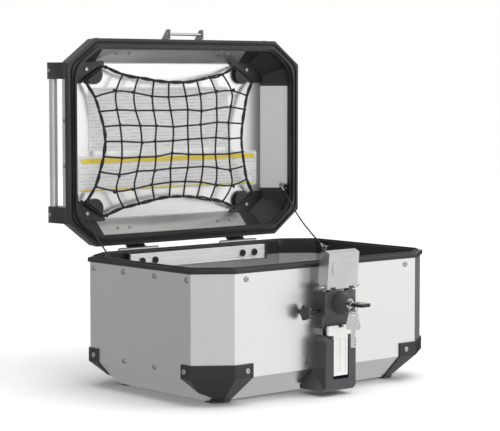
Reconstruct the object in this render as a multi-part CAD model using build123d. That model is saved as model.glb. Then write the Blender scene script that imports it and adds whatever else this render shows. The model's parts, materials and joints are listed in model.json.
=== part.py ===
"""Top case for a motorcycle: aluminium box with a hinged lid, latch, lock and release lever.

Millimetres. +Z is up, +X is to the right when facing the lock, the front faces -Y.
The origin is the centre of the underside, on the plane that rests on the rack.
The lid is drawn shut and then turned open about its hinge, which is the rest position.
"""
from build123d import *
import math
import os

os.makedirs("parts", exist_ok=True)

# ---- driving dimensions: box
WIDTH = 560.0
DEPTH = 380.0
CORNER_X = 62.0
CORNER_Y = 46.0
SHEET = 1.5
WALL_INSET = 4.0
PAN_Z = 4.0
BEVEL_TOP_Z = 48.0
BEVEL_RUN = 50.0
RIM_BOTTOM_Z = 226.0
RIM_TOP_Z = 234.0
RIM_SLOT = 4.0
RIM_INNER = 12.0
SKIRT_BOTTOM_Z = 208.0
BEAD_HEIGHT = 3.0

# ---- driving dimensions: lid, as it lies shut
LID_BOTTOM_Z = 235.0
FRAME_TOP_Z = 245.0
LID_FOLD_Z = 259.0
LID_TOP_Z = 300.0
LID_BEVEL_RUN = 40.0
FRAME_INNER = 20.0
FRAME_CORNER_R = 38.0
OPEN_ANGLE = -90.0

# ---- driving dimensions: hinge
HINGE_Y = DEPTH / 2 + 10.0
HINGE_Z = LID_BOTTOM_Z
HINGE_X = 122.0
HINGE_WIDTH = 88.0
PIN_R = 2.5
RUNNING_FIT = 0.05
KNUCKLE_R = 4.5
LEAF = 2.0

# ---- driving dimensions: lock
LOCK_HALF = 37.0
LOCK_FRONT_Y = -218.0
LOCK_BLOCK_Z = (144.0, 184.0)
COVER_Z = (119.0, 144.0)
RELEASE_Z = (9.0, 106.0)
KEY_Z = 164.0
RING_CENTRE = (-14.0, -262.0, 159.0)
RING_R = 10.0
LATCH_PIVOT = (-212.0, 192.0)
LATCH_LEAN = 5.0
LATCH_HALF = 36.0
LATCH_TOP_Z = 252.0
STRIKER_Y = -200.0
STRIKER_Z = 246.0
STRIKER_PIN_R = 2.75
STRIKER_HALF = 41.0
LEVER_PIVOT = (-207.0, 42.0)
HOOK_PIVOT = (-182.0, 20.0)

# ---- driving dimensions: guards, handles, net and cables
GUARD = 3.0
GUARD_TOP_Z = 72.0
GUARD_FRONT_EAR = 41.0
GUARD_SIDE_EAR = 26.0
RIVET_R = 5.0
RIVET_RISE = 2.2
BAR_R = 7.5
BAR_X = WIDTH / 2 - 6.0
BAR_Z = LID_BOTTOM_Z + 55.0
BAR_HALF = 116.0
LINER = 2.0
LINER_X = 176.0
LINER_Y = 102.0
PAD_Z = LID_TOP_Z - 5.0
HOOK_R = 19.0
NET_LONG = (157.0, 138.0)
NET_SHORT = (204.0, 111.0)
NET_WAIST = (168.0, 110.0)
NET_Z = LID_TOP_Z - 13.0
CORD_R = 1.5
CABLE_R = 1.5
LID_ANCHOR = (252.0, 97.0, 252.0)
BASE_ANCHOR = (256.0, 95.0, 222.0)

FRONT_Y = -(DEPTH / 2 - WALL_INSET)
SIDE_X = WIDTH / 2 - WALL_INSET

parts = {}


# ---- shared shapes
def octagon(inset):
    """Corners of the box outline, moved inward by inset, counter-clockwise from the front left."""
    half_x = WIDTH / 2 - inset
    half_y = DEPTH / 2 - inset
    diagonal = math.hypot(CORNER_X, CORNER_Y)
    cut_x = CORNER_X - inset * (1 - (diagonal - CORNER_X) / CORNER_Y)
    cut_y = CORNER_Y - inset * (1 - (diagonal - CORNER_Y) / CORNER_X)
    right = [
        (half_x - cut_x, -half_y),
        (half_x, -half_y + cut_y),
        (half_x, half_y - cut_y),
        (half_x - cut_x, half_y),
    ]
    left = [(-x, y) for x, y in reversed(right)]
    return right + left


def section(inset, z):
    return Plane.XY.offset(z) * Polygon(*octagon(inset), align=None)


def prism(inset, low, high, radius=0.0):
    face = Polygon(*octagon(inset), align=None)
    if radius:
        face = fillet(face.vertices(), radius)
    return Pos(0, 0, low) * extrude(face, high - low)


def frustum(inset_low, low, inset_high, high):
    return loft([section(inset_low, low), section(inset_high, high)], ruled=True)


def ring(outer, inner, low, high, outer_radius=0.0, inner_radius=0.0):
    return prism(outer, low, high, outer_radius) - prism(inner, low, high, inner_radius)


def block(x, y, z):
    """Box from three (low, high) ranges."""
    size = [high - low for low, high in (x, y, z)]
    centre = [(high + low) / 2 for low, high in (x, y, z)]
    return Pos(*centre) * Box(*size)


def along_x(points, low, high):
    """Outline of (y, z) points, drawn out along X."""
    return extrude(Plane.YZ.offset(low) * Polygon(*points, align=None), high - low, dir=(1, 0, 0))


def along_y(points, low, high):
    """Outline of (x, z) points, drawn out along Y."""
    return extrude(Plane.XZ.offset(-high) * Polygon(*points, align=None), high - low, dir=(0, -1, 0))


def rod(radius, start, end):
    axis = Vector(*end) - Vector(*start)
    place = Plane(origin=start, z_dir=axis)
    return place * Cylinder(radius, axis.length, align=(Align.CENTER, Align.CENTER, Align.MIN))


def button_head(centre, normal, radius, height):
    """Domed screw or rivet head standing on a face, with a small drive recess."""
    place = Plane(origin=centre, z_dir=normal)
    head = Cylinder(radius, height, align=(Align.CENTER, Align.CENTER, Align.MIN))
    head = fillet(head.edges().group_by(Axis.Z)[-1], height * 0.7)
    recess = Pos(0, 0, height * 0.5) * extrude(RegularPolygon(radius * 0.42, 6), height)
    return place * (head - recess)


def rounded(shape, edges, radius):
    """Fillet that leaves the shape as it is where the edges are too short for the radius."""
    try:
        return fillet(edges, radius)
    except ValueError:
        return shape


def corners(shape):
    """The same piece at all four corners, front left first."""
    right = mirror(shape, about=Plane.YZ)
    return {
        "front_left": shape,
        "front_right": right,
        "rear_left": mirror(shape, about=Plane.XZ),
        "rear_right": mirror(right, about=Plane.XZ),
    }


def turn(shape, pivot, angle):
    """Turn about an axis along X through the (y, z) pivot."""
    return shape.rotate(Axis((0, pivot[0], pivot[1]), (1, 0, 0)), angle)


def opened(shape):
    return turn(shape, (HINGE_Y, HINGE_Z), OPEN_ANGLE)


# ---- base: sheet panels and floor
def box_skin(inset):
    """Solid body inside the outline of the base walls and their lower bevel."""
    walls = prism(inset, BEVEL_TOP_Z, RIM_BOTTOM_Z + RIM_SLOT)
    return walls + frustum(inset + BEVEL_RUN, PAN_Z, inset, BEVEL_TOP_Z)


def panels(shell, prefix=""):
    """Cut a ring of walls into front, rear, left and right sheets at the corner folds."""
    seam = octagon(WALL_INSET)[0][0]
    tall = (0, 400)
    deep = DEPTH
    wide = WIDTH
    return {
        prefix + "front_panel": shell & block((-seam, seam), (-deep, 0), tall),
        prefix + "rear_panel": shell & block((-seam, seam), (0, deep), tall),
        prefix + "left_panel": shell & block((-wide, -seam), (-deep, deep), tall),
        prefix + "right_panel": shell & block((seam, wide), (-deep, deep), tall),
    }


def base_box():
    outside = box_skin(WALL_INSET)
    shell = outside - box_skin(WALL_INSET + SHEET)
    parts.update(panels(shell))
    floor_inset = WALL_INSET + SHEET + BEVEL_RUN
    floor = prism(floor_inset, PAN_Z, PAN_Z + 2)
    for x in (-120, 0, 120):
        bead = block((x - 6, x + 6), (-105, 105), (PAN_Z + 2, PAN_Z + 4))
        floor += rounded(bead, bead.edges().filter_by(Axis.Z), 5.5)
    parts["floor_pan"] = floor
    body = ring(0, RIM_INNER, RIM_BOTTOM_Z, RIM_TOP_Z, 3, 20)
    body = rounded(body, body.faces().sort_by(Axis.Z)[-1].outer_wire().edges(), 2.0)
    skirt = ring(9, RIM_INNER, SKIRT_BOTTOM_Z, RIM_BOTTOM_Z, 23, 20)
    bead = ring(6, 9, RIM_TOP_Z, RIM_TOP_Z + BEAD_HEIGHT, 26, 23)
    parts["base_rim"] = body + skirt + bead - shell
    return outside


def base_guards(outside):
    inset = WALL_INSET - GUARD
    cap = prism(inset, BEVEL_TOP_Z, GUARD_TOP_Z)
    cap += frustum(inset + BEVEL_RUN, PAN_Z, inset, BEVEL_TOP_Z)
    cap += prism(inset + BEVEL_RUN, 0, PAN_Z)
    cap -= outside
    cap -= prism(inset + BEVEL_RUN + 15, 0, PAN_Z)
    seam = octagon(0)[-1][0]
    fold = octagon(0)[-2][1]
    front = [
        (seam - 1, 0),
        (seam + 32, 0),
        (seam + GUARD_FRONT_EAR, BEVEL_TOP_Z),
        (seam + GUARD_FRONT_EAR, GUARD_TOP_Z),
        (seam - 1, GUARD_TOP_Z),
    ]
    side = [
        (fold - 1, 0),
        (fold + 8, 0),
        (fold + GUARD_SIDE_EAR, BEVEL_TOP_Z),
        (fold + GUARD_SIDE_EAR, GUARD_TOP_Z),
        (fold - 1, GUARD_TOP_Z),
    ]
    zone = block((-WIDTH, seam), (-DEPTH, fold), (0, GUARD_TOP_Z))
    zone += along_y(front, -DEPTH / 2, -DEPTH / 2 + 80)
    zone += along_x(side, -WIDTH / 2, -WIDTH / 2 + 80)
    for place, shape in corners(cap & zone).items():
        parts["guard_" + place] = shape
    front_screw = button_head((seam + 27, -DEPTH / 2 + inset, 60), (0, -1, 0), RIVET_R, RIVET_RISE)
    side_screw = button_head((-WIDTH / 2 + inset, fold + 16, 60), (-1, 0, 0), RIVET_R, RIVET_RISE)
    screws = list(corners(front_screw).values()) + list(corners(side_screw).values())
    parts["guard_screws"] = screws


def base_rivets():
    heads = []
    for x in (-191, 191):
        heads.append(button_head((x, FRONT_Y, 215.5), (0, -1, 0), RIVET_R, RIVET_RISE))
    for x in (-57, 57):
        heads.append(button_head((x, FRONT_Y, 62), (0, -1, 0), RIVET_R, RIVET_RISE))
    for x in (-191, -60, 60, 191):
        z = 215.5 if abs(x) > 100 else 62
        heads.append(button_head((x, -FRONT_Y, z), (0, 1, 0), RIVET_R, RIVET_RISE))
    for side in (-1, 1):
        for y in (-131, -44, 44, 131):
            heads.append(button_head((side * SIDE_X, y, 215.5), (side, 0, 0), RIVET_R, RIVET_RISE))
        for y in (-43, 43):
            heads.append(button_head((side * SIDE_X, y, 59), (side, 0, 0), RIVET_R, RIVET_RISE))
    for x in (-80, 80):
        for y in (-85, 85):
            heads.append(button_head((x, y, PAN_Z + 2), (0, 0, 1), 5, 2))
    parts["wall_rivets"] = heads


def rack_plate():
    """Plate under the floor: flat face for the rack and two pockets for its tongues."""
    plate = block((-105, 105), (-110, 115), (0, PAN_Z))
    plate = rounded(plate, plate.edges().filter_by(Axis.Z), 18)
    for x in (-55, 55):
        plate -= block((x - 17, x + 17), (92, 101), (0, PAN_Z))
    plate -= block((-14, 14), (-115, -88), (0, PAN_Z))
    parts["rack_plate"] = plate


# ---- hinge rail and hinges
def hinge_rail():
    back = DEPTH / 2 - RIM_INNER
    rail = block((-165, 165), (back - 8, back), (203, 229))
    for z in (207, 211.5, 220.5, 225):
        rail -= block((-165, 165), (back - 8, back - 6.8), (z - 1, z + 1))
    parts["hinge_rail"] = rail
    caps = []
    for x in (-137, -107, 107, 137):
        cap = rod(6.5, (x, back - 12, 216), (x, back - 8, 216))
        cap = rounded(cap, cap.edges().group_by(Axis.Y)[0], 1.5)
        caps.append(cap)
    for side in (-1, 1):
        ends = sorted((side * 165, side * 169))
        caps.append(block(ends, (back - 10, back), (201, 231)))
    parts["rail_caps"] = caps


def knuckle(centre, low, high):
    start = (centre + low, HINGE_Y, HINGE_Z)
    end = (centre + high, HINGE_Y, HINGE_Z)
    return rod(KNUCKLE_R, start, end)


def bore(centre):
    half = HINGE_WIDTH / 2 + 2
    return rod(PIN_R + RUNNING_FIT, (centre - half, HINGE_Y, HINGE_Z), (centre + half, HINGE_Y, HINGE_Z))


def hinges():
    wall = -FRONT_Y
    arm = HINGE_Y - KNUCKLE_R
    half = HINGE_WIDTH / 2
    gap = 0.5
    knuckle_half = 22.0
    rise = 6.5
    step = 11.5
    base_web = [
        (arm, HINGE_Z),
        (arm, HINGE_Z - rise),
        (arm - 5, HINGE_Z - step),
        (wall, HINGE_Z - step),
        (wall, HINGE_Z - step - LEAF),
        (arm - 4, HINGE_Z - step - LEAF),
        (arm + LEAF, HINGE_Z - rise - 1),
        (arm + LEAF, HINGE_Z),
    ]
    lid_web = [(y, 2 * HINGE_Z - z) for y, z in base_web]
    slope = Vector(-LID_BEVEL_RUN, LID_TOP_Z - LID_FOLD_Z).normalized()
    out = Vector(slope.Y, -slope.X) * LEAF
    foot = Vector(wall, LID_FOLD_Z) + slope * 31
    lid_leaf = [
        (wall, HINGE_Z + step),
        (wall, LID_FOLD_Z),
        (foot.X, foot.Y),
        (foot.X + out.X, foot.Y + out.Y),
        (wall + LEAF, LID_FOLD_Z + 0.7),
        (wall + LEAF, HINGE_Z + step),
    ]
    pins = []
    rivets = []
    for name, x in (("left", -HINGE_X), ("right", HINGE_X)):
        leaf = block((x - half, x + half), (wall, wall + LEAF), (190, HINGE_Z - step))
        for low, high in ((-half, -knuckle_half), (knuckle_half, half)):
            leaf += along_x(base_web, x + low, x + high)
            leaf += knuckle(x, low, high)
        parts["base_hinge_" + name] = leaf - bore(x)
        lid = along_x(lid_leaf, x - half, x + half)
        lid += along_x(lid_web, x - knuckle_half + gap, x + knuckle_half - gap)
        lid += knuckle(x, -knuckle_half + gap, knuckle_half - gap)
        parts["lid_hinge_" + name] = opened(lid - bore(x))
        pin = rod(PIN_R, (x - half, HINGE_Y, HINGE_Z), (x + half, HINGE_Y, HINGE_Z))
        for end, way in ((x - half, -1.5), (x + half, 1.5)):
            pin += rod(KNUCKLE_R - 0.5, (end, HINGE_Y, HINGE_Z), (end + way, HINGE_Y, HINGE_Z))
        pins.append(pin)
        for dx in (-30, 30):
            for z in (198, 214):
                rivets.append(button_head((x + dx, wall + LEAF, z), (0, 1, 0), 4, 1.8))
    parts["hinge_pins"] = pins
    parts["wall_rivets"] += rivets


# ---- lid
def lid_skin(inset):
    """Solid body inside the outline of the lid walls and their upper bevel, lid shut."""
    walls = prism(inset, FRAME_TOP_Z - RIM_SLOT, LID_FOLD_Z)
    return walls + frustum(inset, LID_FOLD_Z, inset + LID_BEVEL_RUN, LID_TOP_Z)


def lid_box():
    outside = lid_skin(WALL_INSET)
    shell = outside - lid_skin(WALL_INSET + SHEET)
    for name, sheet in panels(shell, "lid_").items():
        parts[name] = opened(sheet)
    top = prism(WALL_INSET + SHEET + LID_BEVEL_RUN, LID_TOP_Z - 2, LID_TOP_Z)
    top += prism(75, LID_TOP_Z, LID_TOP_Z + 2)
    for x in (-100, 0, 100):
        rib = block((x - 20, x + 20), (-90, 90), (LID_TOP_Z + 2, LID_TOP_Z + 3.5))
        top += rounded(rib, rib.edges().filter_by(Axis.Z), 8)
    parts["lid_top_panel"] = opened(top)
    frame = ring(0, FRAME_INNER, LID_BOTTOM_Z, FRAME_TOP_Z, 3, FRAME_CORNER_R)
    frame -= ring(5, 10, LID_BOTTOM_Z, LID_BOTTOM_Z + 4, 27, 22)
    frame -= outside - lid_skin(WALL_INSET + SHEET)
    frame += ring(13.5, 16.5, LID_BOTTOM_Z - 4, LID_BOTTOM_Z, 44, 41)
    parts["lid_frame"] = opened(frame)
    seal = ring(5.5, 9.5, LID_BOTTOM_Z + 2.3, LID_BOTTOM_Z + 4, 26.5, 22.5)
    parts["lid_seal"] = opened(seal)
    return outside


def lid_guards(outside):
    inset = WALL_INSET - GUARD
    low = FRAME_TOP_Z
    cap = prism(inset, low, LID_FOLD_Z)
    cap += frustum(inset, LID_FOLD_Z, inset + LID_BEVEL_RUN, LID_TOP_Z)
    cap -= outside
    seam = octagon(0)[-1][0]
    fold = octagon(0)[-2][1]
    front = [
        (seam - 1, low),
        (seam + 26, low),
        (seam + 26, LID_FOLD_Z),
        (seam + 14, LID_TOP_Z),
        (seam - 1, LID_TOP_Z),
    ]
    side = [
        (fold - 1, low),
        (fold + 28, low),
        (fold + 28, LID_FOLD_Z + 4),
        (fold + 10, LID_TOP_Z),
        (fold - 1, LID_TOP_Z),
    ]
    zone = block((-WIDTH, seam), (-DEPTH, fold), (low, LID_TOP_Z))
    zone += along_y(front, -DEPTH / 2, -DEPTH / 2 + 80)
    zone += along_x(side, -WIDTH / 2, -WIDTH / 2 + 80)
    horn = along_y(
        [
            (-SIDE_X, FRAME_TOP_Z + 2),
            (-SIDE_X - 4, FRAME_TOP_Z + 4),
            (-BAR_X - BAR_R - 2, BAR_Z - BAR_R),
            (-BAR_X - BAR_R - 2, BAR_Z + 5),
            (-BAR_X - 5, BAR_Z + BAR_R + 2),
            (-BAR_X + 5, BAR_Z + BAR_R + 2),
            (-BAR_X + 30, BAR_Z - 2),
            (-SIDE_X + 20, BAR_Z - 22),
            (-SIDE_X + 3, LID_FOLD_Z),
        ],
        -BAR_HALF - 30,
        -BAR_HALF,
    )
    horn = rounded(horn, horn.edges().filter_by(Axis.Y), 1.5)
    for place, shape in corners((cap & zone) + (horn - outside)).items():
        parts["lid_guard_" + place] = opened(shape)
    for name, x in (("left", -BAR_X), ("right", BAR_X)):
        bar = rod(BAR_R, (x, -BAR_HALF, BAR_Z), (x, BAR_HALF, BAR_Z))
        bar -= rod(BAR_R - 1.5, (x, -BAR_HALF, BAR_Z), (x, BAR_HALF, BAR_Z))
        parts["handle_bar_" + name] = opened(bar)
    horn_face = -BAR_X - BAR_R - 2
    horn_screw = button_head((horn_face, -BAR_HALF - 15, BAR_Z - 1), (-1, 0, 0), 4, 2)
    front_screw = button_head((seam + 14, -DEPTH / 2 + inset, 252), (0, -1, 0), 4, 2)
    screws = list(corners(horn_screw).values()) + list(corners(front_screw).values())
    parts["lid_guard_screws"] = [opened(screw) for screw in screws]


def lid_rivets():
    """Heads seen inside the lid: two pairs on each long bevel, and two on each side wall."""
    heads = []
    inner = WALL_INSET + SHEET
    slope = Vector(-LID_BEVEL_RUN, LID_TOP_Z - LID_FOLD_Z).normalized()
    inward = Vector(-slope.Y, slope.X)
    for side in (-1, 1):
        for x in (-HINGE_X - 14, -HINGE_X + 14, HINGE_X - 14, HINGE_X + 14):
            for run in (12, 30):
                spot = Vector(DEPTH / 2 - inner, LID_FOLD_Z) + slope * run
                centre = (x, side * spot.X, spot.Y)
                heads.append(button_head(centre, (0, side * inward.X, inward.Y), 3.5, 1.5))
    for side in (-1, 1):
        for y in (-41, 41):
            heads.append(button_head((side * SIDE_X, y, 252), (side, 0, 0), 4, 1.8))
    parts["lid_rivets"] = [opened(head) for head in heads]


def striker():
    y = FRONT_Y
    bracket = block((-STRIKER_HALF, STRIKER_HALF), (y - 2, y), (FRAME_TOP_Z + 1, LID_FOLD_Z - 1))
    ear = [
        (y - 2, FRAME_TOP_Z + 1),
        (y - 2, LID_FOLD_Z - 1),
        (y + 5, LID_FOLD_Z + 7),
        (STRIKER_Y + 8, LID_FOLD_Z + 7),
        (STRIKER_Y - 9, STRIKER_Z + 6),
        (STRIKER_Y - 9, STRIKER_Z - 5),
        (-DEPTH / 2 - 1, STRIKER_Z - 5),
        (-DEPTH / 2 - 1, FRAME_TOP_Z + 1),
    ]
    for low in (-STRIKER_HALF, STRIKER_HALF - 2):
        bracket += along_x(ear, low, low + 2)
    reach = STRIKER_HALF + 2
    pin = rod(STRIKER_PIN_R, (-reach, STRIKER_Y, STRIKER_Z), (reach, STRIKER_Y, STRIKER_Z))
    parts["striker_bracket"] = opened(bracket - pin)
    parts["striker_pin"] = opened(pin)


def net_fittings():
    """Black liner in each lid corner, with a pad on the top panel and a D-shaped hook for the net."""
    skin = WALL_INSET + SHEET
    room = lid_skin(skin)
    corner = block((-WIDTH, -LINER_X), (-DEPTH, -LINER_Y), (FRAME_TOP_Z, LID_TOP_Z - 2))
    near = (-NET_LONG[0] + 2, -NET_LONG[1] - 4)
    far = (-NET_SHORT[0] - 3, -NET_SHORT[1] + 3)
    outline = [(near[0], -DEPTH), near, far, (-WIDTH, far[1]), (-WIDTH, -DEPTH)]
    pad = Pos(0, 0, PAD_Z) * extrude(Polygon(*outline, align=None), LID_TOP_Z - 2 - PAD_Z)
    liner = ((room - lid_skin(skin + LINER)) & corner) + (pad & room)
    parts["lid_gussets"] = [opened(piece) for piece in corners(liner).values()]
    middle = ((near[0] + far[0]) / 2, (near[1] + far[1]) / 2)
    lean = math.degrees(math.atan2(near[1] - far[1], near[0] - far[0]))
    neck_r = HOOK_R - 6
    hook = Cylinder(HOOK_R, 3) & block((-HOOK_R, HOOK_R), (0, HOOK_R), (-1.5, 1.5))
    hook = rounded(hook, hook.edges().group_by(Axis.Z)[0], 1.0)
    neck = Cylinder(neck_r, 3) & block((-neck_r, neck_r), (3, neck_r), (-1.5, 1.5))
    hook += Pos(0, 0, 3) * neck
    hook = Pos(*middle, PAD_Z - 4.5) * Rot(0, 0, lean) * hook
    parts["net_plates"] = [opened(piece) for piece in corners(hook).values()]
    inner_x = WIDTH / 2 - skin - LINER
    inner_y = DEPTH / 2 - skin - LINER
    screws = [
        button_head((-196, -134, PAD_Z), (0, 0, -1), 4, 1.8),
        button_head((-inner_x, -125, FRAME_TOP_Z + 8), (1, 0, 0), 3.5, 1.5),
        button_head((-206, -inner_y, FRAME_TOP_Z + 8), (0, 1, 0), 3.5, 1.5),
    ]
    for screw in screws:
        parts["lid_guard_screws"] += [opened(piece) for piece in corners(screw).values()]


def cargo_net():
    """Flat lattice of elastic cords in front of the lid's top panel, hung on the four hooks."""
    low = NET_Z - CORD_R
    high = NET_Z + CORD_R
    waist_x, waist_y = NET_WAIST
    half = [(0, -waist_y), (NET_LONG[0], -NET_LONG[1]), (NET_SHORT[0], -NET_SHORT[1]), (waist_x, 0)]
    half += [(x, -y) for x, y in reversed(half[:-1])]
    outline = half + [(-x, y) for x, y in reversed(half[1:-1])]
    sheet = Pos(0, 0, low) * extrude(Polygon(*outline, align=None), high - low)
    inner = [(x * 0.984, y * 0.975) for x, y in outline]
    hole = Pos(0, 0, low) * extrude(Polygon(*inner, align=None), high - low)
    net = sheet - hole
    strands = []
    for k in range(-4, 5):
        x = k * 38.0
        strands.append(block((x - CORD_R, x + CORD_R), (-150, 150), (low, high)))
        y = k * 26.0
        strands.append(block((-240, 240), (y - CORD_R, y + CORD_R), (low, high)))
    for strand in strands:
        net += strand & sheet
    parts["cargo_net"] = opened(net)


# ---- stay cables
def cable_route(side):
    """Points from the lid anchor to the base anchor, lid open, with a slight sag."""
    x, y, z = LID_ANCHOR
    top = (side * (x - 2), HINGE_Y + z - HINGE_Z, HINGE_Z + HINGE_Y - y)
    return [
        top,
        (side * 251.0, 179.0, 290.5),
        (side * 252.5, 137.0, 251.5),
        (side * (BASE_ANCHOR[0] - 2), BASE_ANCHOR[1], BASE_ANCHOR[2]),
    ]


def tangent_radii(points):
    """Arc radii as large as the runs beside each corner allow."""
    radii = []
    for before, here, after in zip(points, points[1:], points[2:]):
        first = Vector(*here) - Vector(*before)
        second = Vector(*after) - Vector(*here)
        half_turn = math.radians(first.get_angle(second)) / 2
        radii.append(0.45 * min(first.length, second.length) / math.tan(half_turn))
    return radii


def stay_cables():
    lid_anchors = []
    base_anchors = []
    wall = WIDTH / 2 - WALL_INSET - SHEET
    skirt = WIDTH / 2 - RIM_INNER
    for name, side in (("left", -1), ("right", 1)):
        points = cable_route(side)
        radii = tangent_radii(points)
        print("cable", name, "radii", [round(radius) for radius in radii])
        path = FilletPolyline(*points, radius=radii)
        start = Plane(origin=points[0], z_dir=path % 0)
        tube = sweep(start * Circle(CABLE_R), path=path)
        full = path.length * math.pi * CABLE_R**2
        print("cable length", round(path.length, 1), "volume ratio", round(tube.volume / full, 4))
        parts["stay_cable_" + name] = tube
        x, y, z = LID_ANCHOR
        lid_anchors.append(opened(rod(3.5, (side * x, y, z), (side * wall, y, z))))
        x, y, z = BASE_ANCHOR
        base_anchors.append(rod(4, (side * x, y, z), (side * skirt, y, z)))
    parts["lid_cable_anchors"] = lid_anchors
    parts["base_cable_anchors"] = base_anchors


# ---- latch, lock and release
def lock_blocks():
    low, high = LOCK_BLOCK_Z
    face = LOCK_FRONT_Y + 1
    body = block((-LOCK_HALF, LOCK_HALF), (face, FRONT_Y), (low, high))
    body = rounded(body, body.edges().filter_by(Axis.Z).group_by(Axis.Y)[0], 3)
    pivot_y, pivot_z = LATCH_PIVOT
    for x in (-22, 22):
        post = rod(5.3, (x - 5, pivot_y, pivot_z), (x + 5, pivot_y, pivot_z))
        post += block((x - 5, x + 5), (pivot_y - 5.3, pivot_y + 5.3), (high - 1, pivot_z))
        body += post
    body -= rod(9 + RUNNING_FIT, (0, face, KEY_Z), (0, -192, KEY_Z))
    body -= rod(3 + RUNNING_FIT, (-LOCK_HALF, -202, 150), (-LOCK_HALF + 14, -202, 150))
    pin_reach = 46.0
    pin = rod(4, (-pin_reach, pivot_y, pivot_z), (pin_reach, pivot_y, pivot_z))
    parts["lock_block"] = body - pin
    parts["latch_pin"] = rounded(pin, pin.edges().filter_by(GeomType.CIRCLE), 0.8)
    low, high = COVER_Z
    cover = block((-32, 32), (-205, FRONT_Y), (low, high))
    parts["lock_cover"] = rounded(cover, cover.edges().filter_by(Axis.Z).group_by(Axis.Y)[0], 2)
    strap = block((-26, 26), (-198, FRONT_Y), (RELEASE_Z[1], COVER_Z[0]))
    parts["release_strap"] = strap - block((-20, 20), (-198, -190), (RELEASE_Z[1], COVER_Z[0]))


def latch():
    """Channel plate with a hook in each flange, drawn pressed shut and then leaned out to rest."""
    pivot_y, pivot_z = LATCH_PIVOT
    face = LOCK_FRONT_Y - 2
    inner = face + SHEET
    plate = block((-LATCH_HALF, LATCH_HALF), (face, inner), (189, LATCH_TOP_Z))
    for x in (-22, 22):
        plate -= block((x - 6, x + 6), (face, inner), (189, pivot_z + 0.5))
    lip = [
        (face, LATCH_TOP_Z),
        (face + 11, LATCH_TOP_Z + 4),
        (face + 11, LATCH_TOP_Z + 2.4),
        (inner, LATCH_TOP_Z - 1.5),
    ]
    shape = plate + along_x(lip, -LATCH_HALF, LATCH_HALF)
    flange = [
        (inner, 189),
        (pivot_y - 3, 186),
        (pivot_y + 4, 186),
        (-196, 200),
        (-196, STRIKER_Z - 6),
        (STRIKER_Y - 3.5, STRIKER_Z - 6),
        (STRIKER_Y - 3.5, STRIKER_Z + 3.5),
        (-198.5, STRIKER_Z + 3.5),
        (-200, LATCH_TOP_Z + 0.5),
        (-209, LATCH_TOP_Z + 2),
        (inner, LATCH_TOP_Z),
    ]
    for low in (-LATCH_HALF, LATCH_HALF - SHEET):
        shape += along_x(flange, low, low + SHEET)
    shape -= rod(4 + RUNNING_FIT, (-LATCH_HALF, pivot_y, pivot_z), (LATCH_HALF, pivot_y, pivot_z))
    raised = block((-26, 26), (face - 0.8, face), (214, 238))
    shape += rounded(raised, raised.edges().filter_by(Axis.Y), 6)
    parts["latch_plate"] = turn(shape, LATCH_PIVOT, LATCH_LEAN)
    coil = rod(6, (-12, pivot_y, pivot_z), (12, pivot_y, pivot_z))
    coil -= rod(4.2, (-12, pivot_y, pivot_z), (12, pivot_y, pivot_z))
    for x in (-7.2, -2.4, 2.4, 7.2):
        groove = rod(6, (x - 0.4, pivot_y, pivot_z), (x + 0.4, pivot_y, pivot_z))
        groove -= rod(5.4, (x - 0.4, pivot_y, pivot_z), (x + 0.4, pivot_y, pivot_z))
        coil -= groove
    parts["latch_spring"] = coil


def lock_core():
    face = LOCK_FRONT_Y + 1
    nose = face - 21
    cone = Cone(21, 15.5, face - nose, align=(Align.CENTER, Align.CENTER, Align.MIN))
    cone = Plane(origin=(0, face, KEY_Z), z_dir=(0, -1, 0)) * cone
    collar = rod(13.5, (0, nose, KEY_Z), (0, nose - 2.5, KEY_Z))
    bezel = cone + rounded(collar, collar.edges().group_by(Axis.Y)[0], 1.2)
    parts["lock_bezel"] = bezel - rod(9 + RUNNING_FIT, (0, face, KEY_Z), (0, nose - 2.5, KEY_Z))
    front = nose - 2
    core = rod(9, (0, -193, KEY_Z), (0, front, KEY_Z))
    slot = block((-4.2, 4.2), (front, front + 22), (KEY_Z - 1.2, KEY_Z + 1.2))
    parts["lock_cylinder"] = core - slot
    bow = block((-13, 13), (-280.5, front - 4), (KEY_Z - 3, KEY_Z + 3))
    bow = rounded(bow, bow.edges().filter_by(Axis.Z), 7)
    bow = rounded(bow, bow.edges().group_by(Axis.Z)[-1], 1.2)
    bow = rounded(bow, bow.edges().group_by(Axis.Z)[0], 1.2)
    bow -= rod(4.9, (-5.5, RING_CENTRE[1], KEY_Z - 4), (-5.5, RING_CENTRE[1], KEY_Z + 4))
    blade = block((-3.9, 3.9), (front - 5, front + 20), (KEY_Z - 1, KEY_Z + 1))
    parts["key"] = bow + blade
    parts["key_ring"] = Plane(origin=RING_CENTRE, z_dir=(0, 1, 0)) * Torus(RING_R, 0.9)
    parts["spare_key"] = Pos(*RING_CENTRE) * Rot(0, 0, -50) * spare_key()


def spare_key():
    """Flat key hanging from the bottom of the ring, with the ring's centre as its origin."""
    top = 3.9 - RING_R
    half = [(7, top), (12.5, top - 24), (12.5, top - 31)]
    outline = [(-x, z) for x, z in half] + half[::-1]
    key = along_y(outline, -1, 1)
    key = rounded(key, key.edges().filter_by(Axis.Y), 3)
    key -= rod(2.6, (0, -2, top - 5), (0, 2, top - 5))
    tip = top - 62
    key += block((-4, 4), (-1, 1), (tip, top - 30))
    for k in range(4):
        key -= block((2.6, 4), (-1, 1), (tip + 4 + 5.5 * k, tip + 6.5 + 5.5 * k))
    return key - block((-0.7, 0.7), (-1, -0.6), (tip + 3, top - 31))


def side_knob():
    y, z = -202.0, 150.0
    start = -LOCK_HALF + 12
    stem_end = -LOCK_HALF - 29
    stem = rod(3, (start, y, z), (stem_end, y, z))
    knob = rod(10.5, (stem_end, y, z), (stem_end - 7, y, z))
    for k in range(5):
        angle = 2 * math.pi * k / 5
        lobe = (y + 9.5 * math.cos(angle), z + 9.5 * math.sin(angle))
        knob += rod(4.2, (stem_end, *lobe), (stem_end - 7, *lobe))
    parts["side_knob"] = rounded(knob, knob.edges().group_by(Axis.X)[0], 1.0) + stem


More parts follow.
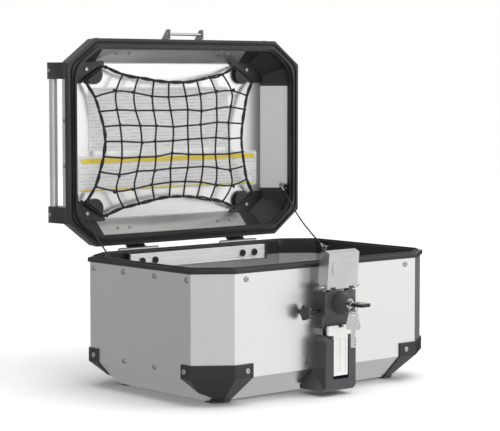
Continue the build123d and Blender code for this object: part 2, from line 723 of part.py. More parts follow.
def release():
    low, high = RELEASE_Z
    back = FRONT_Y
    profile = [
        (back, high),
        (-210, high),
        (LOCK_FRONT_Y, high - 8),
        (LOCK_FRONT_Y, low + 8),
        (-210, low),
        (-152, low),
        (-151, 15.4),
        (back, 46.2),
    ]
    body = along_x(profile, -LOCK_HALF, LOCK_HALF)
    body = rounded(body, body.edges().filter_by(Axis.Z).group_by(Axis.Y)[0], 3)
    for side in (-1, 1):
        wedge = [(side * LOCK_HALF, high), (side * (LOCK_HALF - 7), high), (side * LOCK_HALF, high - 8)]
        body -= along_y(wedge, LOCK_FRONT_Y - 1, back)
    body -= block((-18.5, 18.5), (LOCK_FRONT_Y - 1, -198), (30, high))
    body -= block((-9, 9), (-196, -140), (low, 30))
    lever_y, lever_z = LEVER_PIVOT
    hook_y, hook_z = HOOK_PIVOT
    lever_pin = rod(2, (-24, lever_y, lever_z), (24, lever_y, lever_z))
    hook_pin = rod(2.5, (-14, hook_y, hook_z), (14, hook_y, hook_z))
    parts["release_housing"] = body - lever_pin - hook_pin
    parts["release_pins"] = [lever_pin, hook_pin]
    stem = block((-16.5, 16.5), (-217, -213), (36, 107.2))
    head = block((-30, 30), (-217.5, -212.5), (107, 124))
    head = rounded(head, head.edges().filter_by(Axis.Y), 3)
    stem -= block((-12, 12), (-217, -216), (42, 102))
    stem += block((-1, 1), (-217, -213), (42, 102))
    for z in (57, 72, 87):
        stem += block((-12, 12), (-217, -213), (z - 0.8, z + 0.8))
    lever = stem + head - block((-6, 6), (-218, -212), (120, 124))
    lever += block((-16.5, 16.5), (-213, lever_y), (lever_z - 3, lever_z + 3))
    lever += rod(4, (-16.5, lever_y, lever_z), (16.5, lever_y, lever_z))
    parts["release_lever"] = lever - rod(2 + RUNNING_FIT, (-17, lever_y, lever_z), (17, lever_y, lever_z))
    hook = rod(6, (-4, hook_y, hook_z), (4, hook_y, hook_z))
    claw = [
        (hook_y - 5, hook_z - 3),
        (hook_y - 4, hook_z - 13),
        (hook_y + 17, hook_z - 14),
        (hook_y + 18, hook_z - 6),
        (hook_y + 13, hook_z - 6),
        (hook_y + 11, hook_z - 9.5),
        (hook_y + 5, hook_z - 9),
        (hook_y + 5, hook_z - 2),
    ]
    hook += along_x(claw, -4, 4)
    parts["release_hook"] = hook - rod(2.5 + RUNNING_FIT, (-5, hook_y, hook_z), (5, hook_y, hook_z))


def build():
    outside = base_box()
    base_guards(outside)
    base_rivets()
    rack_plate()
    hinge_rail()
    hinges()
    lid_outside = lid_box()
    lid_guards(lid_outside)
    lid_rivets()
    striker()
    net_fittings()
    cargo_net()
    stay_cables()
    lock_blocks()
    latch()
    lock_core()
    side_knob()
    release()


build()
for node, shape in parts.items():
    solids = shape if isinstance(shape, list) else [shape]
    bodies = [solid for piece in solids for solid in piece.solids()]
    result = bodies[0] if len(bodies) == 1 else Compound(bodies)
    export_step(result, os.path.join("parts", node + ".step"))
print(len(parts), "nodes")
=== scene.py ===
"""Looks of the top case: studio, camera, procedural materials, cargo net, stay cables and labels.

Metres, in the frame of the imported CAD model. The lid is open at rest, its rim plane facing -Y.
"""
import json
import math
import random

import bmesh
import bpy
from mathutils import Matrix, Vector


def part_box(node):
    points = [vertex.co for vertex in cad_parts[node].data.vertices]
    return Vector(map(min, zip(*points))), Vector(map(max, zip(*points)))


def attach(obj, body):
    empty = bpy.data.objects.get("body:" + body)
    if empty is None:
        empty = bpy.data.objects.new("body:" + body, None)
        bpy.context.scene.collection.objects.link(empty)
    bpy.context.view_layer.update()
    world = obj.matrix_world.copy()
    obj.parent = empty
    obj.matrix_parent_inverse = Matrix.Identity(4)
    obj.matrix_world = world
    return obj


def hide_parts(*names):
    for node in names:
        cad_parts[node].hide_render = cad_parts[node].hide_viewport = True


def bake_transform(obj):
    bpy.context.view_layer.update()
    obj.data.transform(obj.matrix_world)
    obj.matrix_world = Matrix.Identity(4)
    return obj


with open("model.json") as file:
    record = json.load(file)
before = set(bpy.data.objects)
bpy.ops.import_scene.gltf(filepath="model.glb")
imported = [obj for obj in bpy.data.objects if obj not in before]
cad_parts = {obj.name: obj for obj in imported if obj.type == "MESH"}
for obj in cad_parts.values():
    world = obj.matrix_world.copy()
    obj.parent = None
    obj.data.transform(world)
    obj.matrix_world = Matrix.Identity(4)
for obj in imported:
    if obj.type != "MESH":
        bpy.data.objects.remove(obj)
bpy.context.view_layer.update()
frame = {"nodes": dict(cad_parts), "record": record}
random.seed(7)
scene = bpy.context.scene

# ---- camera
SENSOR_MM = 36.0
LENS_MM = 131.76
CAMERA_AZIMUTH = math.radians(-41.0)
CAMERA_ELEVATION = math.radians(4.3)
CAMERA_DISTANCE = 3.32
CAMERA_REACH = 60
CAMERA_TARGET = Vector((-0.021, 0.0, 0.304))


def add_camera():
    data = bpy.data.cameras.new("camera")
    data.sensor_width = SENSOR_MM
    data.lens = LENS_MM
    data.clip_end = CAMERA_REACH
    camera = bpy.data.objects.new("camera", data)
    scene.collection.objects.link(camera)
    flat = math.cos(CAMERA_ELEVATION)
    away = Vector((
        math.sin(CAMERA_AZIMUTH) * flat,
        -math.cos(CAMERA_AZIMUTH) * flat,
        math.sin(CAMERA_ELEVATION),
    ))
    camera.location = CAMERA_TARGET + away * CAMERA_DISTANCE
    camera.rotation_euler = (-away).to_track_quat("-Z", "Y").to_euler()
    scene.camera = camera


# ---- node helpers
# Positions of the Mix node's sockets, whose names repeat for each type of value.
COLOUR_INPUTS = (6, 7)
COLOUR_OUTPUT = 2
FLOAT_INPUTS = (2, 3)
FLOAT_OUTPUT = 0
# Pointiness from which an edge starts to look worn, and at which it is fully worn.
WEAR_START = 0.53
WEAR_FULL = 0.62


def map_range(tree, value, start, end, low, high):
    """Adds a Map Range node that takes start..end to low..high."""
    node = tree.nodes.new("ShaderNodeMapRange")
    node.inputs["From Min"].default_value = start
    node.inputs["From Max"].default_value = end
    node.inputs["To Min"].default_value = low
    node.inputs["To Max"].default_value = high
    tree.links.new(value, node.inputs["Value"])
    return node


class Graph:
    """A material's node tree with short calls for the nodes used here."""

    def __init__(self, name):
        self.material = bpy.data.materials.new(name)
        self.material.use_nodes = True
        self.tree = self.material.node_tree
        self.nodes = self.tree.nodes
        self.links = self.tree.links
        self.shader = self.nodes["Principled BSDF"]
        self.place = self.nodes.new("ShaderNodeTexCoord").outputs["Object"]

    def set(self, **values):
        for name, value in values.items():
            socket = self.shader.inputs[name.replace("_", " ")]
            socket.default_value = (*value, 1.0) if isinstance(value, tuple) else value

    def texture(self, kind, scale, stretch):
        """A texture node in the object's own coordinates, stretched along each axis."""
        mapping = self.nodes.new("ShaderNodeMapping")
        mapping.inputs["Scale"].default_value = stretch
        self.links.new(self.place, mapping.inputs["Vector"])
        node = self.nodes.new(kind)
        node.inputs["Scale"].default_value = scale
        self.links.new(mapping.outputs["Vector"], node.inputs["Vector"])
        return node

    def noise(self, scale, detail, stretch=(1, 1, 1), roughness=0.5):
        node = self.texture("ShaderNodeTexNoise", scale, stretch)
        node.inputs["Detail"].default_value = detail
        node.inputs["Roughness"].default_value = roughness
        return node.outputs["Fac"]

    def voronoi(self, scale, stretch):
        return self.texture("ShaderNodeTexVoronoi", scale, stretch).outputs["Distance"]

    def ramp(self, value, low, high, start=0.0, end=1.0):
        return map_range(self.tree, value, start, end, low, high).outputs["Result"]

    def math(self, operation, first, second):
        node = self.nodes.new("ShaderNodeMath")
        node.operation = operation
        for socket, value in zip(node.inputs, (first, second)):
            if isinstance(value, (int, float)):
                socket.default_value = value
            else:
                self.links.new(value, socket)
        return node.outputs["Value"]

    def colours(self, value, stops):
        node = self.nodes.new("ShaderNodeValToRGB")
        elements = node.color_ramp.elements
        while len(elements) < len(stops):
            elements.new(0.5)
        for element, (position, colour) in zip(elements, stops):
            element.position = position
            element.color = (*colour, 1.0)
        self.links.new(value, node.inputs["Fac"])
        return node.outputs["Color"]

    def mix(self, value, first, second):
        node = self.nodes.new("ShaderNodeMix")
        node.data_type = "RGBA"
        self.links.new(value, node.inputs["Factor"])
        for place, colour in zip(COLOUR_INPUTS, (first, second)):
            socket = node.inputs[place]
            if isinstance(colour, tuple):
                socket.default_value = (*colour, 1.0)
            else:
                self.links.new(colour, socket)
        return node.outputs[COLOUR_OUTPUT]

    def edge_wear(self):
        """One at sharp outer edges and zero elsewhere, from the mesh's pointiness."""
        geometry = self.nodes.new("ShaderNodeNewGeometry")
        return self.ramp(geometry.outputs["Pointiness"], 0.0, 1.0, WEAR_START, WEAR_FULL)

    def colour(self, output):
        self.links.new(output, self.shader.inputs["Base Color"])

    def roughness(self, output):
        self.links.new(output, self.shader.inputs["Roughness"])

    def bump(self, height, strength, distance):
        node = self.nodes.new("ShaderNodeBump")
        node.inputs["Strength"].default_value = strength
        node.inputs["Distance"].default_value = distance
        self.links.new(height, node.inputs["Height"])
        self.links.new(node.outputs["Normal"], self.shader.inputs["Normal"])


# ---- materials
WEAR_GAIN = 1.9
WEAR_LIFT = 0.01
WEAR_CEILING = 0.2
FINE_BUMP = 0.0001
RULES_PER_METRE = 160.0
RULE_START = 0.62
RULE_BREAK = 0.44


def brushed_panel():
    """Brushed sheet: the grain runs along Z."""
    graph = Graph("aluminium_panel")
    graph.set(Metallic=1.0)
    grain = graph.noise(scale=1.0, detail=4, stretch=(1500, 1500, 14), roughness=0.6)
    cloud = graph.noise(scale=3.0, detail=2)
    graph.colour(graph.colours(grain, [(0.3, (0.83, 0.83, 0.82)), (0.7, (0.89, 0.89, 0.88))]))
    brushed = graph.ramp(grain, low=0.29, high=0.35, start=0.3, end=0.7)
    smeared = graph.ramp(cloud, low=-0.015, high=0.015)
    graph.roughness(graph.math("ADD", brushed, smeared))
    graph.bump(grain, strength=0.03, distance=FINE_BUMP)
    return graph.material


def moulded_plastic(name, dark, light, rough, grain_scale, depth):
    """Grained plastic, lighter where its sharp edges are worn; depth is the height of the grain."""
    graph = Graph(name)
    cloud = graph.noise(scale=14.0, detail=4)
    grain = graph.noise(scale=grain_scale, detail=2)
    tone = graph.colours(cloud, [(0.3, dark), (0.7, light)])
    lifted = [min(WEAR_CEILING, channel * WEAR_GAIN + WEAR_LIFT) for channel in light]
    worn = tuple(max(pair) for pair in zip(light, lifted))
    graph.colour(graph.mix(graph.edge_wear(), tone, worn))
    clouded = graph.ramp(cloud, low=rough - 0.05, high=rough + 0.06)
    grained = graph.ramp(grain, low=-0.04, high=0.04)
    graph.roughness(graph.math("ADD", clouded, grained))
    graph.bump(grain, strength=0.22, distance=depth)
    graph.set(Specular_IOR_Level=0.5)
    return graph.material


def drawn_metal(name, dark, light, rough, stretch, metallic):
    """Metal with fine drawing lines; stretch is the noise scale along X, Y and Z."""
    graph = Graph(name)
    graph.set(Metallic=metallic)
    lines = graph.noise(scale=1.0, detail=3, stretch=stretch, roughness=0.6)
    cloud = graph.noise(scale=20.0, detail=3)
    average = graph.math("MULTIPLY", graph.math("ADD", lines, cloud), 0.5)
    graph.colour(graph.colours(average, [(0.35, dark), (0.65, light)]))
    graph.roughness(graph.ramp(lines, low=rough - 0.06, high=rough + 0.08, start=0.3, end=0.7))
    graph.bump(lines, strength=0.08, distance=FINE_BUMP)
    return graph.material


def seal_rubber():
    graph = Graph("seal_rubber")
    cloud = graph.noise(scale=60.0, detail=3)
    graph.colour(graph.colours(cloud, [(0.3, (0.010, 0.010, 0.011)), (0.7, (0.022, 0.022, 0.023))]))
    graph.roughness(graph.ramp(cloud, low=0.55, high=0.75))
    graph.bump(graph.noise(scale=2400.0, detail=2), strength=0.15, distance=FINE_BUMP)
    return graph.material


def net_cord():
    """Braided black cord."""
    graph = Graph("net_cord")
    braid = graph.voronoi(scale=1500.0, stretch=(1, 1, 0.55))
    cloud = graph.noise(scale=40.0, detail=3)
    graph.colour(graph.mix(cloud, (0.006, 0.006, 0.007), (0.022, 0.022, 0.025)))
    graph.roughness(graph.ramp(braid, low=0.6, high=0.85))
    graph.set(Sheen_Weight=0.15, Sheen_Roughness=0.5)
    graph.bump(braid, strength=0.7, distance=0.0004)
    return graph.material


def finish_film(graph, cloud):
    """Sheen and fine bump that the films in the lid share."""
    graph.roughness(graph.ramp(cloud, low=0.35, high=0.5))
    graph.bump(graph.noise(scale=900.0, detail=2), strength=0.05, distance=FINE_BUMP)
    return graph.material


def label_paper():
    """White film with broken grey rules and no lettering."""
    graph = Graph("label_film")
    split = graph.nodes.new("ShaderNodeSeparateXYZ")
    graph.links.new(graph.place, split.inputs["Vector"])
    rows = graph.math("MULTIPLY", split.outputs["Z"], RULES_PER_METRE)
    rules = graph.math("GREATER_THAN", graph.math("FRACT", rows, 0.0), RULE_START)
    patches = graph.noise(scale=70.0, detail=1, stretch=(1, 1, 4))
    breaks = graph.math("GREATER_THAN", patches, RULE_BREAK)
    marks = graph.math("MULTIPLY", rules, breaks)
    graph.colour(graph.mix(marks, (0.88, 0.88, 0.87), (0.72, 0.72, 0.72)))
    return finish_film(graph, graph.noise(scale=30.0, detail=2))


def stripe_film(name, dark, light):
    """Film of one colour, a little uneven."""
    graph = Graph(name)
    cloud = graph.noise(scale=45.0, detail=2)
    graph.colour(graph.mix(cloud, dark, light))
    return finish_film(graph, cloud)


# Dark colour, light colour, roughness, scale of the grain and its depth.
PLASTICS = {
    "black_plastic": ((0.013, 0.013, 0.014), (0.023, 0.023, 0.024), 0.36, 1500.0, 0.00012),
    "lock_plastic": ((0.042, 0.043, 0.047), (0.058, 0.059, 0.064), 0.36, 2200.0, 0.00006),
    "knob_plastic": ((0.010, 0.010, 0.010), (0.020, 0.020, 0.020), 0.28, 900.0, 0.0001),
    "white_plastic": ((0.72, 0.72, 0.71), (0.79, 0.79, 0.78), 0.34, 700.0, 0.00008),
    "cable_sleeve": ((0.010, 0.010, 0.011), (0.022, 0.022, 0.024), 0.4, 900.0, 0.0001),
}
# Dark colour, light colour, roughness, noise scale along X, Y and Z, and how metallic.
METALS = {
    "satin_aluminium": ((0.60, 0.60, 0.59), (0.72, 0.72, 0.71), 0.32, (40, 1500, 1500), 1.0),
    "extruded_aluminium": ((0.76, 0.76, 0.76), (0.90, 0.90, 0.90), 0.26, (900, 900, 30), 1.0),
    # Painted light: the hinge rail's aluminium is made near white and hardly metallic so that it looks
    # lit from above.
    "painted_lit_rail_aluminium": ((0.93, 0.93, 0.93), (0.98, 0.98, 0.98), 0.48, (25, 900, 900), 0.2),
    "steel": ((0.30, 0.30, 0.31), (0.46, 0.46, 0.47), 0.34, (60, 900, 900), 1.0),
    "bright_steel": ((0.46, 0.46, 0.47), (0.60, 0.60, 0.61), 0.24, (700, 700, 700), 1.0),
    "key_steel": ((0.78, 0.78, 0.77), (0.90, 0.90, 0.89), 0.30, (300, 300, 2000), 0.7),
}
MATERIALS = {
    "aluminium_panel": brushed_panel(),
    "seal_rubber": seal_rubber(),
    "net_cord": net_cord(),
}
for finish, look in PLASTICS.items():
    MATERIALS[finish] = moulded_plastic(finish, *look)
for finish, look in METALS.items():
    MATERIALS[finish] = drawn_metal(finish, *look)

NODE_SLOT = {part["node"]: part["material_slot"] for part in frame["record"]["subparts"]}
# Nodes whose finish differs from that of their slot; the hinge rail's is painted light, a near white,
# hardly metallic copy of its extruded aluminium.
NODE_FINISH = {"hinge_rail": "painted_lit_rail_aluminium", "spare_key": "key_steel"}
EDGE_WIDTHS = {
    "black_plastic": 0.0009,
    "lock_plastic": 0.0007,
    "white_plastic": 0.0006,
    "satin_aluminium": 0.0003,
}
# Nodes that keep the edges they are packed with.
SHARP_NODES = ("lid_gussets", "net_plates")
SHARP_ANGLE = math.radians(28)
WELD_DISTANCE = 0.00001


def paint_frame():
    for node, piece in frame["nodes"].items():
        piece.data.materials.clear()
        piece.data.materials.append(MATERIALS[NODE_FINISH.get(node, NODE_SLOT[node])])


def soften_edges():
    """Small rounds on the moulded and pressed pieces, so that their edges catch light."""
    for node, piece in frame["nodes"].items():
        width = EDGE_WIDTHS.get(NODE_SLOT[node])
        if width is None or node in SHARP_NODES:
            continue
        weld = piece.modifiers.new("weld", "WELD")
        weld.merge_threshold = WELD_DISTANCE
        bevel = piece.modifiers.new("edge", "BEVEL")
        bevel.width = width
        bevel.segments = 2
        bevel.limit_method = "ANGLE"
        bevel.angle_limit = SHARP_ANGLE
        bevel.harden_normals = True


# ---- mesh helpers
# A tube whose angle to the Y axis has a smaller sine than this has its rings set out from the X axis.
NEARLY_PARALLEL = 0.05
KNOT_SHAPE = (1.0, 0.75, 0.85)
KNOT_LUMPS = 0.10


def finish_piece(name, mesh, slot, body=None, material=None, smooth=True):
    piece = bpy.data.objects.new(name, mesh)
    scene.collection.objects.link(piece)
    mesh.materials.append(material or MATERIALS[slot])
    if smooth:
        mesh.polygons.foreach_set("use_smooth", [True] * len(mesh.polygons))
    if body:
        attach(piece, body)
    return piece


def spline_points(points, resolution=8):
    """Points along a smooth NURBS line that has these points as its control points."""
    curve = bpy.data.curves.new("route", "CURVE")
    curve.dimensions = "3D"
    curve.resolution_u = resolution
    spline = curve.splines.new("NURBS")
    spline.points.add(len(points) - 1)
    for control, point in zip(spline.points, points):
        control.co = (*point, 1.0)
    spline.order_u = 3
    spline.use_endpoint_u = True
    holder = bpy.data.objects.new("route", curve)
    mesh = bpy.data.meshes.new_from_object(holder)
    line = [vertex.co.copy() for vertex in mesh.vertices]
    bpy.data.objects.remove(holder)
    bpy.data.meshes.remove(mesh)
    bpy.data.curves.remove(curve)
    return line


def circle_points(centre, across, other, radius, count):
    """Evenly spaced points of a circle in the plane of two unit vectors."""
    points = []
    for k in range(count):
        angle = 2 * math.pi * k / count
        points.append(centre + (across * math.cos(angle) + other * math.sin(angle)) * radius)
    return points


def sweep_tube(shape, line, radius, sides=8, closed=False):
    """Adds a round tube along a line to a bmesh, with capped ends unless it is closed."""
    up = Vector((0, 1, 0))
    rings = []
    count = len(line)
    for index, point in enumerate(line):
        before = line[index - 1] if index or closed else point
        after = line[(index + 1) % count] if index < count - 1 or closed else point
        along = (after - before).normalized()
        across = along.cross(up)
        if across.length < NEARLY_PARALLEL:
            across = along.cross(Vector((1, 0, 0)))
        across.normalize()
        other = along.cross(across)
        circle = circle_points(point, across, other, radius, sides)
        rings.append([shape.verts.new(place) for place in circle])
    pairs = list(zip(rings, rings[1:]))
    if closed:
        pairs.append((rings[-1], rings[0]))
    for first, second in pairs:
        for k in range(sides):
            after = (k + 1) % sides
            shape.faces.new((first[k], first[after], second[after], second[k]))
    if not closed:
        shape.faces.new(reversed(rings[0]))
        shape.faces.new(rings[-1])


def add_knot(shape, centre, size):
    """A small lumpy knot where two cords are tied."""
    turn = Matrix.Rotation(random.uniform(0, math.pi), 4, "Y")
    stretch = Matrix.Diagonal((*[size * share for share in KNOT_SHAPE], 1))
    matrix = Matrix.Translation(centre) @ turn @ stretch
    made = bmesh.ops.create_icosphere(shape, subdivisions=2, radius=1.0, matrix=matrix)
    for vertex in made["verts"]:
        vertex.co += Vector([random.uniform(-KNOT_LUMPS, KNOT_LUMPS) * size for _ in range(3)])


def mesh_from(shape, name):
    bmesh.ops.recalc_face_normals(shape, faces=shape.faces)
    mesh = bpy.data.meshes.new(name)
    shape.to_mesh(mesh)
    shape.free()
    return mesh


# ---- cargo net
NET_LOW, NET_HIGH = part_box("cargo_net")
NET_CENTRE = (Vector(NET_LOW) + Vector(NET_HIGH)) / 2
CORD_RADIUS = 0.0017
STRANDS_X = 8
STRANDS_Z = 7
# Half sizes from the net's centre: at the waist of each edge, and at the tips where the edges are hooked.
WAIST_X = 0.166
WAIST_Z = 0.108
LONG_TIP = (0.157, 0.138)
SHORT_TIP = (0.204, 0.111)
EDGE_POWER = 1.7
CORNER_POWER = 8
# The outward bow of the net, and how far from its centre the bow ends.
NET_BULGE = 0.024
BULGE_X = 0.2
BULGE_Z = 0.14
BULGE_POWER = 0.7
# Unevenness of a hand-tied net.
SHIFT_X = 0.004
SHIFT_Z = 0.0035
EDGE_BOW = (0.0008, 0.0026)
KNOT_SIZE = (1.9, 2.4)
TIP_KNOT_SIZE = 2.6
EDGE_THICKNESS = 1.1
LOOP_THICKNESS = 1.2
# How far a loop stands off its tips: outwards along X, towards the panel, and outwards along Z.
LOOP_SHIFT = (0.002, 0.0035, 0.003)


def net_place(x, z):
    """Point of the net from its centre, pushed out towards the open side in the middle."""
    fall = max(0.0, 1 - (x / BULGE_X) ** 2) * max(0.0, 1 - (z / BULGE_Z) ** 2)
    return NET_CENTRE + Vector((x, -NET_BULGE * fall ** BULGE_POWER, z))


def edge_z(x):
    """Half height of the net at x: the long edges draw in towards the middle."""
    return WAIST_Z + (LONG_TIP[1] - WAIST_Z) * abs(x / LONG_TIP[0]) ** EDGE_POWER


def edge_x(z):
    """Half width of the net at z: the short edges draw in towards the middle."""
    return WAIST_X + (SHORT_TIP[0] - WAIST_X) * abs(z / SHORT_TIP[1]) ** EDGE_POWER


def net_grid():
    """Knots of the net; its outer rows and columns lie on the curved edges."""
    grid = {}
    corner_x = SHORT_TIP[0] - LONG_TIP[0]
    corner_z = LONG_TIP[1] - SHORT_TIP[1]
    for i in range(STRANDS_X + 2):
        for j in range(STRANDS_Z + 2):
            u = i / (STRANDS_X + 1) * 2 - 1
            v = j / (STRANDS_Z + 1) * 2 - 1
            x = u * (edge_x(v * SHORT_TIP[1]) - corner_x * v ** CORNER_POWER)
            z = v * (edge_z(u * LONG_TIP[0]) - corner_z * u ** CORNER_POWER)
            if abs(u) < 1 and abs(v) < 1:
                x += random.uniform(-SHIFT_X, SHIFT_X)
                z += random.uniform(-SHIFT_Z, SHIFT_Z)
            grid[i, j] = net_place(x, z)
    return grid


def doubled_edge(shape, knots, across):
    """Two cords side by side along the edge of the net, crossing at its knots."""
    for sign in (-1, 1):
        line = [knots[0]]
        for k, (first, second) in enumerate(zip(knots, knots[1:])):
            bow = across * (sign * random.uniform(*EDGE_BOW) * (1 if k % 2 else -1))
            line += [(first * 2 + second) / 3 + bow, (first + second * 2) / 3 + bow]
        line.append(knots[-1])
        sweep_tube(shape, spline_points(line, 5), CORD_RADIUS * EDGE_THICKNESS)


def hook_loop(shape, first, second, shift):
    """The loop of cord that goes round a hook from one tip to the other, with a knot on each tip."""
    loop = [first, first + shift, (first + second) / 2 + shift, second + shift, second]
    sweep_tube(shape, spline_points(loop, 8), CORD_RADIUS * LOOP_THICKNESS)
    for tip in (first, second):
        add_knot(shape, tip, CORD_RADIUS * TIP_KNOT_SIZE)


def make_net():
    shape = bmesh.new()
    grid = net_grid()
    last_i = STRANDS_X + 1
    last_j = STRANDS_Z + 1
    for i in range(1, last_i):
        strand = [grid[i, j] for j in range(last_j + 1)]
        sweep_tube(shape, spline_points(strand, 6), CORD_RADIUS)
    for j in range(1, last_j):
        strand = [grid[i, j] for i in range(last_i + 1)]
        sweep_tube(shape, spline_points(strand, 6), CORD_RADIUS)
    for (i, j), point in grid.items():
        if not (i in (0, last_i) and j in (0, last_j)):
            add_knot(shape, point, CORD_RADIUS * random.uniform(*KNOT_SIZE))
    tips = {}
    for side in (-1, 1):
        for way in (-1, 1):
            for name, (x, z) in (("long", LONG_TIP), ("short", SHORT_TIP)):
                tips[name, side, way] = NET_CENTRE + Vector((side * x, 0, way * z))
    for way, j in ((-1, 0), (1, last_j)):
        inner = [grid[i, j] for i in range(1, last_i)]
        edge = [tips["long", -1, way], *inner, tips["long", 1, way]]
        doubled_edge(shape, edge, Vector((0, 0, 1)))
    for side, i in ((-1, 0), (1, last_i)):
        inner = [grid[i, j] for j in range(1, last_j)]
        edge = [tips["short", side, -1], *inner, tips["short", side, 1]]
        doubled_edge(shape, edge, Vector((1, 0, 0)))
    for side in (-1, 1):
        for way in (-1, 1):
            shift = Vector((side * LOOP_SHIFT[0], LOOP_SHIFT[1], way * LOOP_SHIFT[2]))
            hook_loop(shape, tips["long", side, way], tips["short", side, way], shift)
    piece = finish_piece("net_cords", mesh_from(shape, "net_cords"), "net_cord", "lid")
    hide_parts("cargo_net")


# ---- stay cables
CABLE_DIAMETER = 0.0030
CABLE_POINTS = [
    (0.250, 0.217, 0.338),
    (0.251, 0.179, 0.2905),
    (0.2525, 0.137, 0.2515),
    (0.254, 0.095, 0.222),
]
# Distances from the cable's end at which the ferrule has its rings.
FERRULE_STATIONS = (0.002, 0.003, 0.011, 0.012)
FERRULE_RADIUS = 0.0026
EYE_RADIUS = 0.0048
EYE_WIRE_RADIUS = 0.0012
# Points along the cable over which its direction at the end is taken.
END_SPAN = 6


def make_ferrule(label, body, tip, inner):
    """A ferrule at a cable's end and the eye that it is hung by; inner is a point further along."""
    shape = bmesh.new()
    way = (inner - tip).normalized()
    sweep_tube(shape, [tip + way * station for station in FERRULE_STATIONS], FERRULE_RADIUS, 16)
    circle = circle_points(tip, Vector((0, 1, 0)), Vector((0, 0, 1)), EYE_RADIUS, 18)
    sweep_tube(shape, circle, EYE_WIRE_RADIUS, 8, closed=True)
    return finish_piece(label, mesh_from(shape, label), "bright_steel", body)


def make_cable(name, side):
    line = spline_points([(side * x, y, z) for x, y, z in reversed(CABLE_POINTS)], 12)
    shape = bmesh.new()
    sweep_tube(shape, line, CABLE_DIAMETER / 2, 12)
    cable = finish_piece("cable_" + name, mesh_from(shape, "cable_" + name), "cable_sleeve")
    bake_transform(cable)
    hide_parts("stay_cable_" + name)
    ferrules = [
        make_ferrule(f"ferrule_{name}_base", "base", line[0], line[END_SPAN]),
        make_ferrule(f"ferrule_{name}_lid", "lid", line[-1], line[-1 - END_SPAN]),
    ]


# ---- labels inside the lid
FILM = 0.0003
FILM_STEP = 0.0004
CORNER_RADIUS = 0.004
CORNER_SHARE = 0.3
CORNER_STEPS = 4
# Left and right ends, and lower and upper edges, as the lid stands open.
PAPER_LABELS = {
    "label_sheet": ((-0.190, 0.150), (0.417, 0.535)),
    "label_band": ((-0.214, 0.224), (0.340, 0.408)),
}
YELLOW_STRIPES = {
    "label_band_head": ((-0.208, 0.218), (0.394, 0.403)),
    "label_band_foot": ((-0.208, 0.218), (0.343, 0.3455)),
}


def flat_label(name, x_range, z_range, y, material):
    """Thin film with rounded corners on the inner face of the lid's top panel."""
    shape = bmesh.new()
    radius = min(CORNER_RADIUS, (z_range[1] - z_range[0]) * CORNER_SHARE)
    outline = []
    for right, top, start in ((1, 1, 0), (0, 1, 90), (0, 0, 180), (1, 0, 270)):
        x = x_range[right] + (-radius if right else radius)
        z = z_range[top] + (-radius if top else radius)
        for k in range(CORNER_STEPS + 1):
            angle = math.radians(start + 90 / CORNER_STEPS * k)
            outline.append(Vector((x, y, z)) + Vector((math.cos(angle), 0, math.sin(angle))) * radius)
    front = [shape.verts.new(point) for point in outline]
    back = [shape.verts.new(point + Vector((0, FILM, 0))) for point in outline]
    shape.faces.new(front)
    shape.faces.new(reversed(back))
    for k in range(len(front)):
        after = (k + 1) % len(front)
        shape.faces.new((front[k], back[k], back[after], front[after]))
    finish_piece(name, mesh_from(shape, name), "white_plastic", "lid", material, smooth=False)


def make_labels():
    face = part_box("lid_top_panel")[0][1]
    paper = label_paper()
    yellow = stripe_film("stripe_yellow", (0.80, 0.62, 0.05), (0.86, 0.70, 0.10))
    for name, (x_range, z_range) in PAPER_LABELS.items():
        flat_label(name, x_range, z_range, face - FILM_STEP, paper)
    for name, (x_range, z_range) in YELLOW_STRIPES.items():
        flat_label(name, x_range, z_range, face - FILM_STEP * 2, yellow)


# ---- studio
FLOOR_HALF = 6.0
# Strength of the surround's light: at the horizon, its fall straight down, and its slopes along X and Y.
SURROUND = 0.70
SURROUND_DOWN = 0.42
SURROUND_SLOPES = (("X", 0.25), ("Y", -0.17))
# A dark flag in the surround: cosines from its direction at which it starts and is full, and its level.
FLAG_DIRECTION = (0.94, 0.34, 0.0)
FLAG_EDGE = 0.89
FLAG_FULL = 0.975
FLAG_LEVEL = 0.06
OVERHEAD_POWER = 2.0
OVERHEAD_SPREAD = math.radians(70)
OVERHEAD_TILT = (math.radians(12), math.radians(10), 0)
FRONT_LIGHT_PLACE = (1.9, -2.2, 1.5)
FRONT_LIGHT_TARGET = (0, 0, 0.25)
FRONT_LIGHT_SIZE = (1.6, 1.6)
FRONT_LIGHT_POWER = 10


def add_floor():
    """White floor that reflections do not show, so that they show the surround instead."""
    shape = bmesh.new()
    corners = []
    for x, y in ((-1, -1), (1, -1), (1, 1), (-1, 1)):
        corners.append(shape.verts.new((x * FLOOR_HALF, y * FLOOR_HALF, 0)))
    shape.faces.new(corners)
    mesh = mesh_from(shape, "floor")
    floor = bpy.data.objects.new("floor", mesh)
    scene.collection.objects.link(floor)
    graph = Graph("studio_floor")
    graph.colour(graph.mix(graph.noise(scale=3.0, detail=2), (0.90, 0.90, 0.90), (0.92, 0.92, 0.92)))
    graph.roughness(graph.ramp(graph.noise(scale=8.0, detail=2), low=0.6, high=0.7))
    graph.set(Specular_IOR_Level=0.2)
    mesh.materials.append(graph.material)
    floor.visible_glossy = False


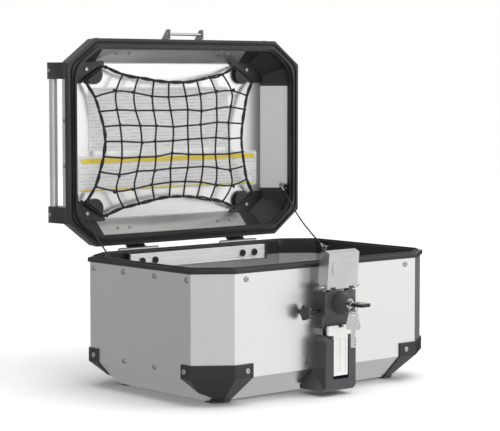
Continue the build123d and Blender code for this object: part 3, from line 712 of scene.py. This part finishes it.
def add_world():
    """Soft studio surround, plain white to the camera.

    Its light is stronger from the front right, weaker from behind, from the left and from below, and a
    dark flag stands on the right.
    """
    world = bpy.data.worlds.new("studio")
    world.use_nodes = True
    scene.world = world
    tree = world.node_tree
    nodes = tree.nodes
    links = tree.links
    background = nodes["Background"]
    place = nodes.new("ShaderNodeTexCoord").outputs["Generated"]
    split = nodes.new("ShaderNodeSeparateXYZ")
    links.new(place, split.inputs["Vector"])
    below = map_range(tree, split.outputs["Z"], -1.0, 0.0, SURROUND - SURROUND_DOWN, SURROUND)
    total = below.outputs["Result"]
    for axis, weight in SURROUND_SLOPES:
        part = nodes.new("ShaderNodeMath")
        part.operation = "MULTIPLY_ADD"
        part.inputs[1].default_value = weight
        links.new(split.outputs[axis], part.inputs[0])
        links.new(total, part.inputs[2])
        total = part.outputs["Value"]
    towards = nodes.new("ShaderNodeVectorMath")
    towards.operation = "DOT_PRODUCT"
    towards.inputs[1].default_value = FLAG_DIRECTION
    links.new(place, towards.inputs[0])
    flag = map_range(tree, towards.outputs["Value"], FLAG_EDGE, FLAG_FULL, 1.0, FLAG_LEVEL)
    flag.interpolation_type = "SMOOTHSTEP"
    shaded = nodes.new("ShaderNodeMath")
    shaded.operation = "MULTIPLY"
    links.new(total, shaded.inputs[0])
    links.new(flag.outputs["Result"], shaded.inputs[1])
    path = nodes.new("ShaderNodeLightPath")
    pick = nodes.new("ShaderNodeMix")
    pick.data_type = "FLOAT"
    links.new(path.outputs["Is Camera Ray"], pick.inputs["Factor"])
    links.new(shaded.outputs["Value"], pick.inputs[FLOAT_INPUTS[0]])
    pick.inputs[FLOAT_INPUTS[1]].default_value = 1.0
    links.new(pick.outputs[FLOAT_OUTPUT], background.inputs["Strength"])
    background.inputs["Color"].default_value = (1, 1, 1, 1)


def add_overhead():
    """Wide overhead light that keeps the floor white and its shadows soft."""
    data = bpy.data.lights.new("overhead", "SUN")
    data.energy = OVERHEAD_POWER
    data.angle = OVERHEAD_SPREAD
    light = bpy.data.objects.new("overhead", data)
    light.rotation_euler = OVERHEAD_TILT
    light.visible_glossy = False
    scene.collection.objects.link(light)


def add_front_light():
    """Rectangular softbox at the front right, facing the case."""
    data = bpy.data.lights.new("front_light", "AREA")
    data.shape = "RECTANGLE"
    data.size, data.size_y = FRONT_LIGHT_SIZE
    data.energy = FRONT_LIGHT_POWER
    light = bpy.data.objects.new("front_light", data)
    light.location = FRONT_LIGHT_PLACE
    facing = Vector(FRONT_LIGHT_TARGET) - Vector(FRONT_LIGHT_PLACE)
    light.rotation_euler = facing.to_track_quat("-Z", "Y").to_euler()
    scene.collection.objects.link(light)


def main():
    scene.view_settings.view_transform = "Standard"
    add_camera()
    for name, side in (("left", -1), ("right", 1)):
        make_cable(name, side)
    paint_frame()
    soften_edges()
    make_net()
    make_labels()
    add_floor()
    add_world()
    add_overhead()
    add_front_light()


main()
